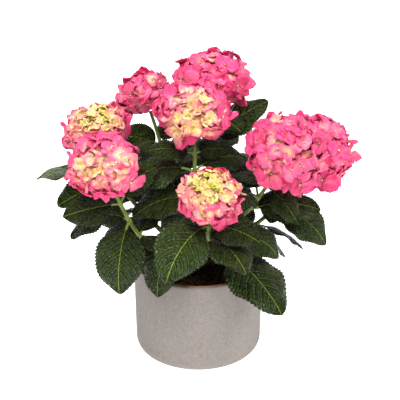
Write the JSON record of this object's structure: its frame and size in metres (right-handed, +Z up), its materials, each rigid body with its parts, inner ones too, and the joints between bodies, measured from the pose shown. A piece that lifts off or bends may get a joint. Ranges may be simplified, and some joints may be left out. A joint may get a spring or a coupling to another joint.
{
  "type": "potted hydrangea shrub",
  "caption": "Leafy flowering shrub with round mophead blooms on green shoots from a short woody foot, in a plain cylindrical stoneware pot of soil.",
  "frame": {"origin": "centre of the pot's flat underside", "axes": "+Z up out of the pot, +X to the right and -Y to the front, where the lowest bloom leans over the rim"},
  "size_m": [0.4592, 0.3653, 0.4395],
  "materials": {
    "stoneware": "matte, finely speckled",
    "compost": "damp, crumbly",
    "bark": "rough",
    "green_stem": "satin, green, with corky specks",
    "foliage": "glossy above, dull and pale beneath",
    "pink_bloom": "soft petals",
    "cream_bloom": "soft petals, cream and green with a pink edge"
  },
  "bodies": {
    "root": {"pot": "stoneware", "soil": "compost", "woody_foot": "bark", "stem_back": "green_stem", "stem_top": "green_stem", "stem_back_left": "green_stem", "stem_left": "green_stem", "stem_front_left": "green_stem", "stem_front": "green_stem", "stem_front_right": "green_stem", "stem_right": "green_stem", "stem_low_right": "green_stem", "stem_low_left": "green_stem", "stem_low_back": "green_stem", "stem_low_far_right": "green_stem", "stem_low_far_left": "green_stem", "leaves_back": "foliage", "leaves_top": "foliage", "leaves_back_left": "foliage", "leaves_left": "foliage", "leaves_front_left": "foliage", "leaves_front": "foliage", "leaves_front_right": "foliage", "leaves_right": "foliage", "leaves_low_right": "foliage", "leaves_low_left": "foliage", "leaves_low_back": "foliage", "leaves_low_far_right": "foliage", "leaves_low_far_left": "foliage", "bloom_back": "pink_bloom", "bloom_top": "pink_bloom", "bloom_back_left": "pink_bloom", "bloom_left": "cream_bloom", "bloom_front_left": "pink_bloom", "bloom_front": "cream_bloom", "bloom_front_right": "pink_bloom", "bloom_right": "pink_bloom"}
  },
  "joints": []
}
